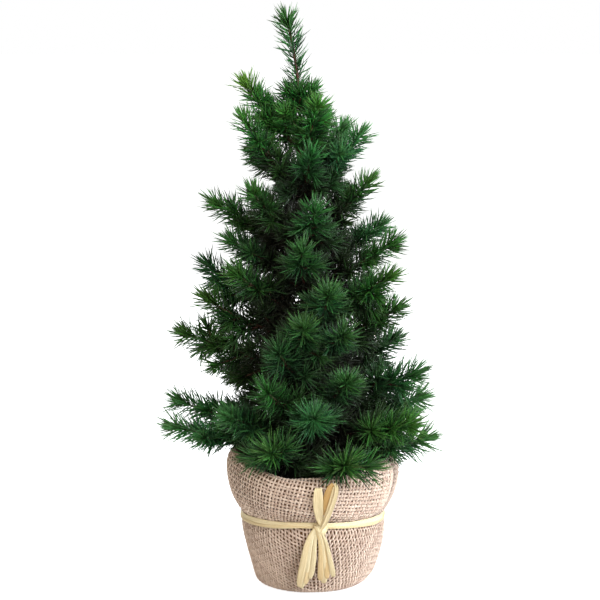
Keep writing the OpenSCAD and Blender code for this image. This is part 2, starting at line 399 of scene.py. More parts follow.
def brush(path, length, rng, density, tip_count):
    """Needles of one shoot: where each stands, its two directions, length, width and place along it."""
    run = run_along(path)
    total = run[-1]
    count = int(total / MM * density)
    at = total * (np.arange(count) + rng.uniform(0, 1, count)) / count
    at = np.concatenate([at, total - rng.uniform(0, 1, tip_count) ** 2 * TUFT_LENGTH])
    is_tip = np.arange(len(at)) >= count
    base = np.stack([np.interp(at, run, path[:, k]) for k in range(3)], 1)
    tangent = unit(np.gradient(path, axis=0))
    t = unit(np.stack([np.interp(at, run, tangent[:, k]) for k in range(3)], 1))
    side = unit(np.cross(t, np.array([0.31, 0.17, 0.93])))    # any direction that no stem points in
    other = np.cross(t, side)
    turn = np.arange(len(at)) * GOLDEN_ANGLE + rng.normal(0, 0.5, len(at))
    out = np.cos(turn)[:, None] * side + np.sin(turn)[:, None] * other
    nearness = np.clip((at - total) / STEEP_LENGTH + 1, 0, 1)
    along = 61 - 7 * nearness + rng.normal(0, 8, len(at))
    spread = np.radians(np.where(is_tip, 4 + 62 * rng.uniform(0, 1, len(at)) ** 1.35, along))
    closing = np.radians(np.where(is_tip, rng.uniform(-6, 14, len(at)), 17 + rng.normal(0, 9, len(at))))

    def tilted(angle):
        """Directions at an angle from the stem."""
        return np.cos(angle)[:, None] * t + np.sin(angle)[:, None] * out

    start = tilted(spread)
    end = unit(tilted(np.maximum(spread - closing, 0.02)) + rng.normal(0, 0.09, base.shape) + 0.12 * UP)
    size = length * rng.uniform(0.72, 1.1, len(at)) * np.where(is_tip, rng.uniform(0.8, 1.02, len(at)), 1)
    width = NEEDLE_WIDTH * rng.uniform(0.8, 1.15, len(at))
    tips = base + size[:, None] * (start + end) / 2
    middles = base + size[:, None] * (start * 0.62 + end * 0.12)
    bare = (at < BARE_SHARE * total) & (rng.uniform(0, 1, len(at)) < BARE_LOSS)
    keep = ~(in_rim(tips) | in_rim(middles) | bare)
    return [v[keep] for v in (base, start, end, size, width, at / total)]


def rim_shift(angle):
    """How far the burlap's rim stands above its usual height, mm: it rises on the left and dips in front."""
    return 6.0 * np.clip(-np.cos(angle), 0, 1) ** 3 - 6.0 * hill(angle_from(FRONT, angle), 0.8)


def in_rim(points):
    """Which points would stand in the burlap's rolled rim."""
    r = np.hypot(points[:, 0], points[:, 1])
    top = (RIM_Z + 1.5 + rim_shift(np.arctan2(points[:, 1], points[:, 0]))) * MM
    return (r > RIM_RADII[0]) & (r < RIM_RADII[1]) & (points[:, 2] < top)


def depth_shade(points):
    """Painted shade: darker towards the trunk, 0 at the trunk, 1 at the tips."""
    r = np.hypot(points[:, 0] + (points[:, 2] - TRUNK_FOOT) * TRUNK_LEAN, points[:, 1])
    crown = 0.088 - 0.17 * np.clip(points[:, 2] - 0.1, 0, 0.3)
    share = np.clip((r / crown - 0.36) / 0.56, 0, 1)
    # The painted shade lifts near the top of the crown.
    open_top = 0.92 * np.clip((points[:, 2] - 0.315) / 0.045, 0, 1)
    return share + (1 - share) * open_top


# Painted shade and light by height in metres: the needles' colour is darker in the crown's middle, as if in
# the shade of the tiers above it, and lighter near the top.
SHADE_HEIGHTS = (0.12, 0.15, 0.165, 0.18, 0.20, 0.22, 0.24, 0.28, 0.33, 0.36, 0.40)
SHADE_LEVELS = (0.98, 0.88, 0.78, 0.58, 0.54, 0.62, 0.72, 0.78, 0.96, 1.16, 1.0)


def blended(a, b, share):
    """Colour between a and b."""
    return a * (1 - share) + b * share


def needle_colours(base_at, place_along, rng, tone, young):
    """Colour of every point, with painted shade: tone from -1 bluish to 1 yellowish, young brightens the
    shoot's end.
    """
    n = len(place_along)
    mix = np.clip(0.5 + 0.43 * rng.normal(size=n), 0, 1)[:, None]
    cool, warm = 0.75 * max(0, -tone), 0.35 * max(0, tone)
    base = blended(DARK_GREEN, MID_GREEN, mix)
    base = blended(base, BLUE_GREEN * (0.7 + 0.5 * mix), cool)
    base = blended(base, YELLOW_GREEN * 0.7, warm)
    base = base * rng.uniform(0.81, 1.27, n)[:, None]
    end = (np.clip((place_along - 0.62) / 0.38, 0, 1) ** 1.5)[:, None]
    base = blended(base, YELLOW_GREEN, 0.5 * end * young)
    # Painted shade: darker towards the trunk and in the crown's middle, deepest inside.
    outer = depth_shade(base_at)[:, None] ** 1.3
    level = np.interp(base_at[:, 2], SHADE_HEIGHTS, SHADE_LEVELS)[:, None]
    base = blended(PAINTED_SHADE_BROWN, base * level, outer)
    # Needles a little darker at their base, painted shade; lighter yellow-green tips, more on young shoots,
    # left out where the painted shade falls.
    s = np.repeat(NEEDLE_RINGS, NEEDLE_SIDES)[None, :, None]
    tip = np.clip((s - 0.8) / 0.2, 0, 1) * 0.22 * (0.2 + young) * outer[:, None]
    return blended(base[:, None] * (0.9 + 0.18 * s), YELLOW_GREEN, tip).reshape(-1, 3)


def bark_colours(path, rng):
    """Colour of every point of a stem: red and brown patches, green towards its young end, darker towards the
    trunk as painted shade.
    """
    share = np.linspace(0, 1, len(path))
    red = (0.5 + 0.5 * wobble(rng, share * 12))[:, None]
    green = (np.clip((share - 0.55) / 0.45, 0, 1) ** 1.3)[:, None]
    colour = blended(blended(BROWN_BARK, RED_BARK, red), GREEN_BARK, green)
    # Painted shade towards the trunk.
    colour = colour * (0.45 + 0.55 * depth_shade(path)[:, None])
    return np.concatenate([np.repeat(colour, BARK_SIDES, 0), colour[:1], colour[-1:]])


def shoot(node, paths, length, seed, tone, young, density=NEEDLES_PER_MM):
    """One branch's bark and needles, along its main path and its side paths."""
    rng = default_rng(seed)
    needles, bark = [], []
    for path in paths:
        main = path is paths[0]
        reach = length * (1 if main else TWIG_NEEDLES)
        tip_count = TIP_NEEDLES if main else TWIG_TIP_NEEDLES
        base, start, end, size, width, along = brush(path, reach, rng, density, tip_count)
        points, faces = needle_mesh(base, start, end, size, width, rng)
        tint = needle_colours(base, along, rng, tone, young if main else min(young, TWIG_YOUNG))
        needles.append((points, faces, {"tint": tint}))
        share = np.linspace(0, 1, len(path))
        radii = np.interp(share, (0, 1), BARK_RADII) * MM * (1 if main else TWIG_THINNER)
        points, faces = closed_tube(path, radii * (1 + 0.1 * wobble(rng, share * 60)), BARK_SIDES)
        bark.append((points, faces, {"tint": bark_colours(path, rng)}))
    place(join(node + "_bark", bark, BARK), node, "bark_tape", node)
    place(join(node + "_needles", needles, NEEDLE), node, "foliage")


def node_points(node):
    """Vertices of a CAD node, in metres."""
    return np.array([v.co for v in frame["nodes"][node].data.vertices], float)


def branch_paths(joint, node, length, rng):
    """Main path, side-sprig paths and twig paths of a branch, from its hinge and its CAD solid."""
    root = np.array(joint["pos_m"])
    sideways = -np.array(joint["axis"], float)
    points = node_points(node) - root
    tip = root + points[np.argmax(np.linalg.norm(points, axis=1))]
    heading = unit(tip - root)
    reach = np.linalg.norm(tip - root)
    across = points @ sideways
    number = int(node[-2:])
    up, out = NUDGES.get(number, (0, 0))
    stem_end = tip - heading * (length * OVERREACH - out * MM) + UP * up * MM
    lift = np.cross(heading, sideways)
    bow = reach * (-0.04 + 0.03 * rng.normal())
    middle = (root + stem_end) / 2 + lift * bow + sideways * reach * 0.03 * rng.normal()
    main = bezier(root, middle, stem_end, 24)
    paths = [main]
    sprig_sides = []
    for sign in (-1, 1):
        k = np.argmax(across * sign)
        if across[k] * sign < 0.12 * reach:
            continue
        sprig_sides.append(sign)
        sprig_tip = root + points[k]
        start = main[9]
        aim = unit(sprig_tip - start)
        end = sprig_tip - aim * length * TWIG_OVERREACH
        paths.append(bezier(start, (start + end) / 2 + heading * 3 * MM, end, 14))
    low = root[2] < LOW_BRANCHES
    for share, sign, size, *given_roll in TWIGS + EXTRA_TWIGS.get(number, ()):
        if sign in sprig_sides and 0.35 < share < 0.55:
            continue
        start = main[int(share * (len(main) - 1))]
        roll = rng.uniform(-0.35, 0.7) if low else rng.uniform(-0.75, 1.0)
        roll = given_roll[0] if given_roll else roll
        away = math.radians(rng.uniform(42, 62) if low or share < 0.15 else rng.uniform(36, 52))
        out = sign * sideways * math.cos(roll) + lift * math.sin(roll)
        aim = heading * math.cos(away) + out * math.sin(away)
        end = start + aim * max(reach * size * rng.uniform(0.85, 1.15) - length * TWIG_OVERREACH, 6 * MM)
        paths.append(bezier(start, (start + end) / 2 + heading * 2 * MM, end, 9))
    return paths


# Tables by the number of a branch. How far the end of its stem is bent up and pushed out, mm.
NUDGES = {
    42: (6, -5), 49: (7, 0), 45: (6, -6), 46: (4, 0), 41: (8, 0), 32: (-3, 2), 21: (4, 3), 25: (5, 0),
    20: (0, 4), 16: (0, 3), 12: (0, 4), 5: (-5, 4), 8: (-4, 4), 40: (2, 0),
}

# More twigs where the crown is fuller: place, side and length as in TWIGS, and for some the turn around the
# branch, from -1.57 straight down to 1.57 straight up.
EXTRA_TWIGS = {
    1: ((0.8, -1, 0.4), (0.84, 1, 0.42), (0.5, 1, 0.5)),
    3: ((0.8, 1, 0.34), (0.82, -1, 0.34), (0.5, -1, 0.55)),
    5: ((0.4, -1, 0.5), (0.6, -1, 0.4), (0.75, 1, 0.3), (0.6, 1, 0.3, -1.3)),
    7: ((0.3, 1, 0.5), (0.45, 1, 0.45), (0.6, 1, 0.4)),
    8: ((0.4, -1, 0.5), (0.6, 1, 0.4), (0.75, -1, 0.3), (0.65, 1, 0.3, -1.3)),
    12: ((0.6, 1, 0.3, 1.3), (0.75, -1, 0.26, -1.3)),
    16: ((0.6, 1, 0.32, 1.3), (0.75, -1, 0.26, -1.3)),
    20: ((0.55, 1, 0.3, 1.3), (0.7, -1, 0.26, -1.3), (0.85, 1, 0.2, 0.3)),
    21: ((0.25, 1, 0.44, -1.3), (0.38, -1, 0.4, -1.2), (0.5, 1, 0.36, -1.3), (0.75, 1, 0.26, 1.3),
         (0.8, -1, 0.24, -1.3)),
    25: ((0.5, 1, 0.32, 1.3), (0.65, -1, 0.28, 1.2), (0.8, 1, 0.22, 1.3)),
    27: ((0.45, 1, 0.36, -1.3), (0.6, -1, 0.3, -1.2)),
    30: ((0.55, 1, 0.32, -1.3), (0.7, -1, 0.28, -1.2)),
    32: ((0.5, 1, 0.34, -1.3), (0.65, -1, 0.3, -1.3), (0.8, 1, 0.26, -1.2), (0.5, 1, 0.3, 1.3)),
    39: ((0.1, 1, 0.5), (0.2, -1, 0.5)),
    41: ((0.1, 1, 0.5), (0.25, -1, 0.5), (0.6, 1, 0.34, 1.2), (0.75, -1, 0.28, 1.0)),
    42: ((0.35, 1, 0.45, 1.3), (0.5, -1, 0.4, 1.2)),
    44: ((0.1, -1, 0.6), (0.2, 1, 0.6), (0.3, -1, 0.5)),
    45: ((0.1, 1, 0.5), (0.25, -1, 0.5), (0.6, 1, 0.3, 1.2)),
    46: ((0.1, 1, 0.6), (0.2, -1, 0.55), (0.35, -1, 0.5), (0.6, -1, 0.3, 1.2), (0.14, -1, 0.5, 1.2)),
    47: ((0.1, -1, 0.5), (0.2, 1, 0.5), (0.12, 1, 0.5, 1.1), (0.14, -1, 0.5, 1.2)),
    48: ((0.1, 1, 0.7), (0.2, -1, 0.7), (0.35, 1, 0.6)),
    49: ((0.1, 1, 0.6), (0.2, -1, 0.6), (0.3, 1, 0.5), (0.6, -1, 0.26, 1.3)),
}

# Needles longer than usual for the height, as a share.
LONG = {1: 1.2, 3: 1.15, 5: 1.1, 8: 1.1, 12: 1.1, 16: 1.1}

# Shoots that stand out in colour: tone from -1 bluish to 1 yellowish, then how young the end is.
TONES = {
    1: (-0.1, 0.5), 3: (-0.3, 0.5), 8: (0.2, 0.4), 21: (0.3, 0.5), 27: (0.0, 0.7), 28: (-0.6, 0.4),
    30: (0.0, 0.6), 32: (-0.5, 0.1), 33: (-0.4, 0.3), 39: (-0.2, 0.15), 42: (0.1, 0.4), 44: (-0.2, 0.05),
    45: (-0.8, 0.3), 46: (0.0, 0.4), 47: (-0.3, 0.3), 48: (0.0, 0.5), 49: (0.1, 1.2),
}

# Twigs around the leader's foot: azimuth in degrees, length in mm, and rise per unit of reach.
LEADER_TWIGS = ((150, 14, 1.3), (215, 16, 1.2), (275, 15, 1.3), (330, 17, 1.1), (20, 16, 1.3), (90, 14, 1.2),
                (185, 15, 0.1), (245, 17, -0.1), (300, 15, 0.0), (0, 15, -0.1), (60, 15, 0.0), (125, 15, 0.0))


def leader_paths(root, stem_end):
    """The leader's own path and short twigs around its foot."""
    middle = root + UP * (stem_end - root)[2] * 0.55 - np.array([1.5 * MM, 0, 0])
    paths = [bezier(root, middle, stem_end, 30)]
    for azimuth, size, slope in LEADER_TWIGS:
        a = math.radians(azimuth)
        aim = unit(np.array([math.cos(a), math.sin(a), slope])) * size * MM
        paths.append(bezier(root + UP * MM, root + aim * 0.5, root + aim, 8))
    return paths


def leader(root):
    """The top shoot, along its CAD solid."""
    points = node_points("leader")
    tip = points[np.argmax(points[:, 2])]
    length = 17 * MM
    stem_end = tip - unit(tip - root) * length * 0.78
    shoot("leader", leader_paths(root, stem_end), length, 7, 0.0, 0.25, LEADER_NEEDLES_PER_MM)


def foliage():
    """Every branch and the leader, each on the body of its own hinge."""
    for index, joint in enumerate(frame["joints"]):
        node = joint["child"]
        root = np.array(joint["pos_m"])
        if node == "leader":
            leader(root)
            continue
        rng = default_rng(1000 + index)
        number = int(node[-2:])
        length = needle_length(root[2]) * LONG.get(number, 1)
        tone, young = TONES.get(number, (rng.uniform(-0.8, 0.3), rng.uniform(0.1, 0.5)))
        shoot(node, branch_paths(joint, node, length, rng), length, 50 + index, tone, young)


# ---- burlap

CLOTH_HIGH = np.array(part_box("burlap_wrap")[1]) / MM
BAND_LOW, BAND_HIGH = (np.array(corner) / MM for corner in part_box("raffia_band"))
PUFF_R = CLOTH_HIGH[0]
RIM_Z = CLOTH_HIGH[2]
WAIST_Z = (BAND_LOW[2] + BAND_HIGH[2]) / 2
BAND_LIFT = 1.6  # how far the raffia stands off the waist of the cloth, mm
WAIST_R = BAND_HIGH[0] - BAND_LIFT
FRONT = math.radians(270)

# The cloth has a weave below the tie, "low", and one above it, "high".
WARPS = {"low": 126, "high": 136}  # upright yarns around the pot, even numbers
WEFT_PITCH = {"low": 2.9, "high": 3.05}  # between level yarns, mm along the upright ones
YARN_R = {"low": 0.7, "high": 0.75}  # half the width of a yarn, mm
YARN_FLAT = 0.5  # thickness of a yarn as a share of its width
YARN_SIDES = 5
WEAVE_DEPTH = 0.42  # how far a yarn rises and falls as it crosses, mm
STEPS_PER_CROSSING = 3  # points along a yarn from one crossing to the next
BURLAP_LIGHT = srgb(219, 199, 183)
BURLAP_DARK = srgb(181, 155, 138)

EDGE_AZ = math.radians(339)  # where the outer layer of the cloth ends near the rim
EDGE_SLANT = 0.3  # how much further back it ends at the tie, radians
EDGE_STEP = 2.6  # how far the outer layer stands off the layer under it, mm
SKEW_AZ = math.radians(318)  # where the upright yarns below the tie lean most

# Section of the cloth from under the pot up to its lip inside the rim: radius and height, mm.
PROFILE = np.array([
    (30, 1.3), (37, 1.3), (41.8, 3.6), (44.2, 8.4), (47.0, 18), (51.2, 33), (54.2, 46), (WAIST_R, WAIST_Z),
    (WAIST_R + 3.2, WAIST_Z + 7), (PUFF_R - 4.2, WAIST_Z + 15), (PUFF_R - 1.6, WAIST_Z + 24),
    (PUFF_R - 0.8, WAIST_Z + 33), (PUFF_R - 1.8, RIM_Z - 4.5), (PUFF_R - 5.2, RIM_Z - 1),
    (PUFF_R - 8.6, RIM_Z - 2.4), (PUFF_R - 10.6, RIM_Z - 8), (PUFF_R - 11.8, RIM_Z - 17)])


def catmull(points, per):
    """Smooth curve through points, per steps between each two."""
    p = np.concatenate([[2 * points[0] - points[1]], points, [2 * points[-1] - points[-2]]])
    t = np.linspace(0, 1, per, endpoint=False)[:, None]
    parts = []
    for a, b, c, d in zip(p, p[1:], p[2:], p[3:]):
        parts.append(0.5 * (2 * b + (c - a) * t + (2 * a - 5 * b + 4 * c - d) * t ** 2
                            + (3 * b - a - 3 * c + d) * t ** 3))
    return np.concatenate(parts + [points[-1:]])


STEPS_PER_STOP = 14
SECTION = catmull(PROFILE, STEPS_PER_STOP)
SECTION_RUN = run_along(SECTION)
SECTION_SLOPE = np.gradient(SECTION, SECTION_RUN, axis=0)
CLOTH_LENGTH = SECTION_RUN[-1]


def run_at(z):
    """Distance along the section where the outer face of the cloth is z mm high."""
    top = int(np.argmax(SECTION[:, 1]))
    return np.interp(z, SECTION[:top, 1], SECTION_RUN[:top])


def section_at(run):
    """Radius and height of the cloth's section, mm, at a distance along it."""
    return [np.interp(run, SECTION_RUN, column) for column in SECTION.T]


def share_up(z):
    """0 at and below the raffia tie, 1 at the rim."""
    return np.clip((z - WAIST_Z) / (RIM_Z - WAIST_Z), 0, 1)


def share_down(z):
    """0 at and above the raffia tie, 1 at the floor."""
    return np.clip((WAIST_Z - z) / WAIST_Z, 0, 1)


def edge_azimuth(high):
    """Where the outer layer of the cloth ends, by the share of the way up to the rim."""
    return EDGE_AZ - EDGE_SLANT * (1 - high) ** 1.5


def edge_look(angle, run):
    """Painted shade of the under layer beside the free edge, and how much the outer layer's weave closes up.
    """
    high = share_up(section_at(run)[1])
    ahead = angle_from(angle, edge_azimuth(high))
    shaded = np.where(ahead < 0, hill(ahead, 0.16), 0) * np.clip(high * 4, 0, 1)
    close = np.where(ahead > 0, np.exp(-np.maximum(ahead, 0)), 0) * np.clip(high * 3, 0, 1)
    return 1 - 0.62 * shaded, 1 + 0.58 * close


def waist_rise(angle):
    """How far the tie stands above its usual height, mm: it is pulled up under the knot."""
    return 2.3 * hill(angle_from(FRONT, angle), 0.75)


def waist_shift(angle):
    """How far the cloth's waist and the raffia stand off to the right, mm."""
    return 1.5 * np.cos(angle)


def climb(part, angle):
    """How far a level yarn has climbed at an azimuth, mm. Below the tie the cloth is gathered up from a flat
    sheet, so its level yarns sag in front and climb to both sides; above the tie they only run askew."""
    turn = angle - FRONT
    if part == "low":
        return 103 * np.sqrt(np.sin(turn / 2) ** 2 + 0.01) + 12.5 * np.sin(turn)
    return -9.0 * np.sin(turn)


def lean(part, angle, run):
    """How far the upright yarns turn around the pot from their place at the tie, radians."""
    z = section_at(run)[1]
    if part == "low":
        return 0.32 * share_down(z) * hill(angle_from(SKEW_AZ, angle), 0.9)
    return 0.17 * share_up(z)


def cloth_point(angle, run, lift=0.0):
    """Point on the cloth in mm at an azimuth and a distance along its section, lifted off it by lift."""
    angle, run = np.broadcast_arrays(np.asarray(angle, float), np.asarray(run, float))
    r, z = section_at(run)
    dr, dz = (np.interp(run, SECTION_RUN, column) for column in SECTION_SLOPE.T)
    high, low = share_up(z), share_down(z)
    pinch = hill(z - WAIST_Z, 8)
    under_tie = hill(z - WAIST_Z - 0.6, 3.8)
    rise = rim_shift(angle) * high ** 2 + waist_rise(angle) * pinch
    left = np.clip(-np.cos(angle), 0, 1)
    right = np.clip(np.cos(angle), 0, 1)
    puff = 3.0 * left ** 2 + 1.1 * np.sin(3 * angle + 0.6) + 0.7 * np.sin(5 * angle + 2.0)
    puff = high * (puff + 0.4 * np.sin(9 * angle + high * 3))
    folds = 0.55 * pinch * np.sin(31 * angle + 1.5 * np.sin(4 * angle)) * np.where(z > WAIST_Z, 1.0, 0.6)
    belly = low * (0.9 * np.sin(2 * angle + 1.0) + 0.5 * np.sin(7 * angle + 2.2)) * np.clip(z / 12, 0, 1)
    bulge = np.sin(math.pi * low) * (0.4 + 2.0 * right)
    shift = (waist_shift(angle) + 0.4) * np.clip((z - 2) / 10, 0, 1)
    ahead = angle_from(angle, edge_azimuth(high))
    step = np.clip(ahead / 0.025, 0, 1) * np.exp(-np.maximum(ahead, 0) / 0.8)
    step = EDGE_STEP * step * np.clip((z - WAIST_Z - 4) / 8, 0, 1)
    out = puff + folds + belly + bulge + shift + step - 1.1 * under_tie + lift
    r = r + out * dz
    z = np.maximum(z - out * dr + rise, 0.9)
    return np.stack([r * np.cos(angle), r * np.sin(angle), z], -1)


def cloth_normal(angle, run):
    """Unit normal of the cloth, from points a little to each side."""
    step, turn = 0.3, 0.004
    along = cloth_point(angle, run + step) - cloth_point(angle, run - step)
    around = cloth_point(angle + turn, run) - cloth_point(angle - turn, run)
    return unit(np.cross(around, along))


def yarn_bundle(name, yarns, *nodes):
    """Many yarns as one mesh: each is (path, normals, radii, tint, whether it closes on itself)."""
    cos, sin = circle(YARN_SIDES)
    side = np.arange(YARN_SIDES)
    parts = []
    for path, normal, radii, tint, closed in yarns:
        if closed:
            tangent = unit(np.roll(path, -1, 0) - np.roll(path, 1, 0))
        else:
            tangent = unit(np.gradient(path, axis=0))
        wide = unit(np.cross(tangent, normal))
        across = cos * wide[:, None] + YARN_FLAT * sin * normal[:, None]
        ring = path[:, None] + across * radii[:, None, None]
        last = (len(path) - 1) * YARN_SIDES
        faces = grid_faces(len(path), YARN_SIDES).tolist()
        if closed:
            after = (side + 1) % YARN_SIDES
            faces += np.stack([last + side, last + after, after, side], -1).tolist()
        else:
            faces += [side[::-1].tolist(), (last + side).tolist()]
        parts.append((ring.reshape(-1, 3) * MM, faces, {"tint": np.repeat(tint, YARN_SIDES, 0)}))
    place(join(name, parts, YARN), "base", "burlap", *nodes)


def yarn_width(rng, part, slub):
    """Half widths along a yarn, mm, from its slubs and thin places, about -1 to 1."""
    return YARN_R[part] * rng.uniform(0.92, 1.1) * (1 + 0.12 * slub)


def yarn_tint(light):
    """Colours along a yarn, from 0 for its darkest tone to 1 for its lightest."""
    return blended(BURLAP_DARK, BURLAP_LIGHT, np.clip(light, 0, 1)[:, None])


def yarn_look(rng, count, steps, part):
    """Half widths and colours at count points along an upright yarn that is steps crossings long."""
    x = np.linspace(0, steps, count)
    widths = yarn_width(rng, part, wobble(rng, x, ((0.9, 1.0), (2.1, 0.7), (5.3, 0.5))))
    return widths, yarn_tint(rng.uniform(0.25, 1.0) + 0.25 * wobble(rng, x * 1.3))


def yarn(angle, run, lift, widths, tint, closed=False):
    """One yarn on the cloth, for yarn_bundle."""
    # The tint is darkened by painted shade on the under layer beside the free edge.
    shade, swollen = edge_look(angle, run)
    path = cloth_point(angle, run, lift)
    return path, cloth_normal(angle, run), widths * swollen, tint * shade[:, None], closed


def upright_yarns(part, first, last, seed):
    """Yarns from the foot to the rim, between two distances along the cloth's section."""
    pitch = WEFT_PITCH[part]
    turn = FULL_TURN / WARPS[part]
    yarns = []
    for i in range(WARPS[part]):
        rng = default_rng(seed + i)
        run = np.linspace(first, last, int((last - first) / pitch * STEPS_PER_CROSSING))
        steps = (run - first) / pitch
        place_at = (i + 0.14 * wobble(rng, steps * 0.3)) * turn
        angle = place_at + lean(part, place_at, run)
        lift = WEAVE_DEPTH * np.cos(math.pi * ((run - climb(part, i * turn)) / pitch + i))
        widths, tint = yarn_look(rng, len(run), steps[-1] * 0.6, part)
        yarns.append(yarn(angle, run, lift, widths, tint))
    return yarns


def stretches(inside):
    """The points of a ring that are inside, as one list of indices for each unbroken stretch."""
    begin = 0 if inside.all() else int(np.argmin(inside))
    order = (np.arange(len(inside)) + begin) % len(inside)
    cuts = np.flatnonzero(np.diff(inside[order].astype(int))) + 1
    return [piece for piece in np.split(order, cuts) if inside[piece[0]]]


def level_yarns(part, first, last, seed):
    """Yarns around the pot that pass over and under the upright ones; some climb out of the weave."""
    pitch = WEFT_PITCH[part]
    crossing = np.arange(WARPS[part] * STEPS_PER_CROSSING) / STEPS_PER_CROSSING
    place_at = crossing * FULL_TURN / WARPS[part]
    climbed = climb(part, place_at)
    yarns = []
    for j in range(int((first - climbed.max()) / pitch), int((last - climbed.min()) / pitch) + 1):
        rng = default_rng(seed + 5000 + j)
        drift = 0.14 * ripples(rng, place_at, ((3, 0.5), (11, 0.5), (26, 0.4)))
        slub = ripples(rng, place_at, ((17, 0.5), (41, 0.4), (89, 0.3)))
        fade = ripples(rng, place_at, ((7, 0.2), (29, 0.15)))
        run = (j + drift) * pitch + climbed
        widths = yarn_width(rng, part, slub)
        tint = yarn_tint(rng.uniform(0.25, 1.0) + fade)
        for piece in stretches((run > first) & (run < last)):
            if len(piece) <= STEPS_PER_CROSSING:
                continue
            angle = place_at[piece] + lean(part, place_at[piece], run[piece])
            lift = -WEAVE_DEPTH * np.cos(math.pi * (crossing[piece] + j))
            closed = len(piece) == len(run)
            yarns.append(yarn(angle, run[piece], lift, widths[piece], tint[piece], closed))
    return yarns


def burlap():
    """The cloth: two weaves that meet under the raffia band, a layer behind them in painted shade and the
    free edge.
    """
    waist = run_at(WAIST_Z)
    overlap = 0.8
    for part, first, last, seed, nodes in (("low", 0, waist + overlap, 4000, ["burlap_wrap"]),
                                           ("high", waist - overlap, CLOTH_LENGTH, 14000, [])):
        yarn_bundle("burlap_upright_yarns_" + part, upright_yarns(part, first, last, seed), *nodes)
        yarn_bundle("burlap_level_yarns_" + part, level_yarns(part, first, last, seed))
    lining()
    hem()


def lining():
    """Second layer of cloth behind the open weave, coloured as burlap in painted shade."""
    rows, cols, behind = 90, 180, 1.15
    angle = np.arange(cols) * FULL_TURN / cols
    run = np.linspace(6, CLOTH_LENGTH - 1, rows)
    points = cloth_point(angle[None], run[:, None], -behind) * MM
    # A second layer of cloth, with the burlap's tones darkened as painted shade.
    dark, light = srgb(86, 59, 38), srgb(134, 98, 68)
    material = speckled_material("burlap_in_painted_shade", 700.0, dark, light, (0.9, 1.0), 0.0005)
    sheet = make_object("burlap_inner_layer", points.reshape(-1, 3), grid_faces(rows, cols), material)
    place(sheet, "base", "burlap")


def hem():
    """Turned edge where the outer layer of cloth ends: three yarns side by side, the first darkened with
    painted shade.
    """
    rng = default_rng(83)
    run = np.linspace(run_at(WAIST_Z + 4), run_at(RIM_Z - 4.15), 40)
    edge = edge_azimuth(share_up(section_at(run)[1]))
    yarns = []
    # Painted shade per yarn, darkest on the first.
    for k, shade in enumerate((0.75, 0.95, 1.0)):
        angle = edge - 0.012 - 0.016 * k
        widths, tint = yarn_look(rng, len(run), 30, "high")
        yarns.append((cloth_point(angle, run, 0.5 - 0.1 * k), cloth_normal(angle, run), widths * 1.05,
                      tint * shade, False))
    yarn_bundle("burlap_edge_yarns", yarns)


# ---- raffia

RAFFIA_PALE = srgb(236, 226, 196)
RAFFIA_GOLD = srgb(192, 152, 90)
TAIL_PALE = 0.86 * RAFFIA_PALE
RAFFIA_THICK = 0.45  # mm
KNOT_AZ = math.radians(277.3)
OUTWARD = np.array([math.cos(KNOT_AZ), math.sin(KNOT_AZ), 0.0])
RIGHT = np.cross(UP, OUTWARD)
KNOT = WAIST_R * OUTWARD + UP * (WAIST_Z + waist_rise(KNOT_AZ))


def strip(path, side, widths, rng, cup, gold, ribs=9, pale=RAFFIA_PALE):
    """Ribbon of raffia: a thin cupped and ribbed section swept along a path in mm. cup is its hollow as a
    share of the width, gold how far its colour is from pale. Returns points, faces and values for join."""
    tangent = unit(np.gradient(path, axis=0))
    side = unit(side - (side * tangent).sum(-1, keepdims=True) * tangent)
    face = np.cross(tangent, side)
    across = np.linspace(-1, 1, ribs)
    rib = cup * (1 - across ** 2)[None] * widths[:, None] + 0.16 * rng.uniform(-1, 1, ribs)[None]
    rib = rib + 0.1 * np.sin(np.arange(len(path)) * 0.7)[:, None] * rng.uniform(-1, 1, ribs)[None]
    half = RAFFIA_THICK / 2 * (1 - 0.55 * across ** 4)[None]
    spine = path[:, None] + side[:, None] * (across[None] * widths[:, None] / 2)[..., None]
    top = spine + face[:, None] * (rib + half)[..., None]
    bottom = spine + face[:, None] * (rib - half)[..., None]
    ring = np.concatenate([top, bottom[:, ::-1]], 1)
    sides = 2 * ribs
    faces = grid_faces(len(path), sides).tolist()
    end = (len(path) - 1) * sides
    for k in range(ribs - 1):
        faces.append((k + 1, k, sides - 1 - k, sides - 2 - k))
        faces.append((end + k, end + k + 1, end + sides - 2 - k, end + sides - 1 - k))
    values = {
        "across": np.tile(np.concatenate([across, across[::-1]]), len(path)) + rng.uniform(0, 50),
        "along": np.repeat(run_along(path), sides) + rng.uniform(0, 500),
        "tint": np.tile(blended(pale, RAFFIA_GOLD, gold), (len(path) * sides, 1)),
    }
    return ring.reshape(-1, 3) * MM, faces, values


def band():
    """The strip around the waist: broad and creased on the left, folded narrow near the knot."""
    rng = default_rng(31)
    angle = KNOT_AZ + np.linspace(0, FULL_TURN, 200)
    narrow = 0.62 + 0.38 * np.clip(np.abs(angle_from(KNOT_AZ, angle)) / 0.9, 0, 1)
    normal = np.stack([np.cos(angle), np.sin(angle), 0 * angle], 1)
    strips = []
    for layer, (shift, width, lift) in enumerate(((0.0, 6.2, 0.0), (-1.7, 2.4, 0.4))):
        wander = 0.5 * np.sin(3 * angle + layer) + 0.3 * np.sin(7 * angle + 2 * layer)
        r = WAIST_R + waist_shift(angle) + BAND_LIFT + lift
        level = WAIST_Z + waist_rise(angle) + (shift + wander) * narrow
        path = np.stack([r * np.cos(angle), r * np.sin(angle), level], 1)
        side = np.cross(normal, unit(np.gradient(path, axis=0)))
        strips.append(strip(path, side, width * narrow, rng, 0.03, 0.12 + 0.25 * layer))
    place(join("raffia_band_strip", strips, RAFFIA), "base", "raffia", "raffia_band")


def knot_path(stops, per=9):
    """Smooth path in mm through stops given as (right, outward, up) from the knot."""
    points = np.array([KNOT + RIGHT * r + OUTWARD * o + UP * u for r, o, u in stops])
    return catmull(points, per)


def taper(count, widths):
    """Widths spread evenly along count points."""
    return np.interp(np.linspace(0, 1, count), np.linspace(0, 1, len(widths)), widths)


